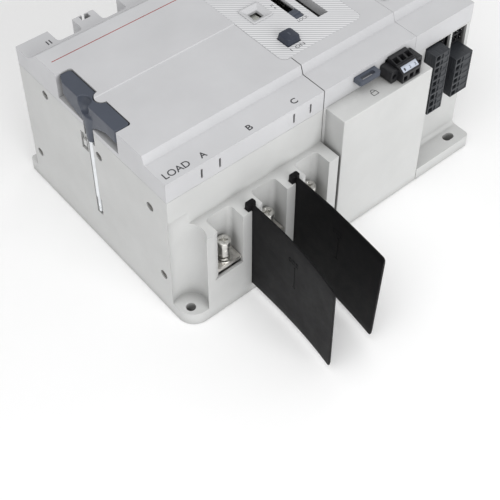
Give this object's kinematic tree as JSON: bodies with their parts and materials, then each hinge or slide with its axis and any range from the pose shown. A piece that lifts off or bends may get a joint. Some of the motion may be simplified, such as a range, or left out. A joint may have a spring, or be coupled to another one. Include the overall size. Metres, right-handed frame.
{
  "type": "automatic transfer switch",
  "caption": "Motorised three-pole transfer switch in a light grey moulded case, with barriers, stowed handle and terminal plugs.",
  "frame": {"origin": "centre of the four fixing holes, on the mounting plane", "axes": "+X from the handle side to the connector side, +Y from the load terminals to the source terminals, +Z out of the front face"},
  "size_m": [0.3682, 0.375, 0.188],
  "materials": {
    "housing_grey": "matt moulded",
    "cover_grey": "matt moulded, fine grain",
    "fascia_film": "printed film",
    "slate_plastic": "matt moulded",
    "button_plastic": "satin moulded",
    "black_plastic": "matt moulded",
    "connector_grey": "matt moulded",
    "barrier_black": "satin extruded",
    "zinc_steel": "zinc plated",
    "silver_copper": "silver plated copper",
    "gear_steel": "machined",
    "motor_can": "satin",
    "flag_white": "matt",
    "board_green": "lacquered",
    "fibre": "vulcanised fibre",
    "dial_black": "gloss",
    "light_pipe": "clear"
  },
  "bodies": {
    "housing": {"arc_chute_a": "fibre", "arc_chute_b": "fibre", "arc_chute_c": "fibre", "bearing_caps": "housing_grey", "board_relays": "black_plastic", "captive_nuts": "zinc_steel", "control_board": "board_green", "control_cover": "cover_grey", "control_fascia": "fascia_film", "control_housing": "housing_grey", "control_socket": "black_plastic", "detent_spring": "zinc_steel", "drive_cover": "cover_grey", "drive_housing": "housing_grey", "drive_motor": "motor_can", "flat_washers": "zinc_steel", "front_boards": "board_green", "gear_plate": "zinc_steel", "load_bar_a": "silver_copper", "load_bar_b": "silver_copper", "load_bar_c": "silver_copper", "side_screws": "zinc_steel", "signal_headers": "black_plastic", "source_1_bar_a": "silver_copper", "source_1_bar_b": "silver_copper", "source_1_bar_c": "silver_copper", "source_2_bar_a": "silver_copper", "source_2_bar_b": "silver_copper", "source_2_bar_c": "silver_copper", "spring_washers": "zinc_steel", "status_lights": "light_pipe", "switch_cover": "cover_grey", "switch_housing": "housing_grey", "terminal_screws": "zinc_steel"},
    "rotor": {"contact_shaft": "black_plastic", "drive_shaft": "gear_steel", "moving_contact_a": "silver_copper", "moving_contact_b": "silver_copper", "moving_contact_c": "silver_copper", "drive_gear": "gear_steel", "operating_lever": "black_plastic", "indicator_flag": "flag_white", "detent_cam": "gear_steel"},
    "pinion": {"motor_pinion": "gear_steel"},
    "button_1": {"button_1": "button_plastic"},
    "button_2": {"button_2": "button_plastic"},
    "lock": {"lock_slider": "slate_plastic"},
    "padlock": {"padlock_slide": "slate_plastic"},
    "control_plug": {"control_plug": "black_plastic"},
    "handle": {"handle_grip": "slate_plastic", "handle_rod": "zinc_steel"},
    "barrier_1": {"phase_barrier_1": "barrier_black"},
    "barrier_2": {"phase_barrier_2": "barrier_black"},
    "dial": {"delay_dial": "dial_black"},
    "signal_plug_1": {"signal_plug_1": "connector_grey"},
    "signal_plug_2": {"signal_plug_2": "connector_grey"},
    "signal_plug_3": {"signal_plug_3": "connector_grey"},
    "signal_plug_4": {"signal_plug_4": "connector_grey"},
    "signal_plug_5": {"signal_plug_5": "connector_grey"},
    "signal_plug_6": {"signal_plug_6": "connector_grey"}
  },
  "joints": [
    {"name": "transfer_swing", "type": "hinge", "parent": "housing", "child": "rotor", "pos_m": [0, 0.0015, 0.092], "axis": [1, 0, 0], "range_deg": [-24, 24]},
    {"name": "motor_turn", "type": "hinge", "parent": "housing", "child": "pinion", "pos_m": [0.07175, 0.0556, 0.092], "axis": [1, 0, 0], "range_deg": [-120, 120]},
    {"name": "button_1_press", "type": "slide", "parent": "housing", "child": "button_1", "axis": [0, 0, -1], "range_m": [0, 0.003], "stiffness_N_per_m": 600, "springref_m": -0.002},
    {"name": "button_2_press", "type": "slide", "parent": "housing", "child": "button_2", "axis": [0, 0, -1], "range_m": [0, 0.003], "stiffness_N_per_m": 600, "springref_m": -0.002},
    {"name": "lock_slide", "type": "slide", "parent": "housing", "child": "lock", "axis": [0, 1, 0], "range_m": [0, 0.032]},
    {"name": "padlock_pull", "type": "slide", "parent": "housing", "child": "padlock", "axis": [0, -1, 0], "range_m": [0, 0.012]},
    {"name": "control_plug_pull", "type": "slide", "parent": "housing", "child": "control_plug", "axis": [0, -1, 0], "range_m": [0, 0.014]},
    {"name": "handle_lift", "type": "slide", "parent": "housing", "child": "handle", "axis": [0, 0, 1], "range_m": [0, 0.14]},
    {"name": "barrier_1_lift", "type": "slide", "parent": "housing", "child": "barrier_1", "axis": [0, 0, 1], "range_m": [0, 0.108]},
    {"name": "barrier_2_lift", "type": "slide", "parent": "housing", "child": "barrier_2", "axis": [0, 0, 1], "range_m": [0, 0.108]},
    {"name": "dial_turn", "type": "hinge", "parent": "housing", "child": "dial", "pos_m": [0.11965, -0.0555, 0.181], "axis": [0, 0, 1], "range_deg": [-135, 135]},
    {"name": "signal_plug_1_pull", "type": "slide", "parent": "housing", "child": "signal_plug_1", "axis": [0, -1, 0], "range_m": [0, 0.014]},
    {"name": "signal_plug_2_pull", "type": "slide", "parent": "housing", "child": "signal_plug_2", "axis": [0, -1, 0], "range_m": [0, 0.014]},
    {"name": "signal_plug_3_pull", "type": "slide", "parent": "housing", "child": "signal_plug_3", "axis": [0, -1, 0], "range_m": [0, 0.014]},
    {"name": "signal_plug_4_pull", "type": "slide", "parent": "housing", "child": "signal_plug_4", "axis": [0, -1, 0], "range_m": [0, 0.014]},
    {"name": "signal_plug_5_pull", "type": "slide", "parent": "housing", "child": "signal_plug_5", "axis": [0, -1, 0], "range_m": [0, 0.014]},
    {"name": "signal_plug_6_pull", "type": "slide", "parent": "housing", "child": "signal_plug_6", "axis": [0, -1, 0], "range_m": [0, 0.014]}
  ],
  "couplings": [
    {"joint": "motor_turn", "follows": "transfer_swing", "ratio": -5}
  ]
}
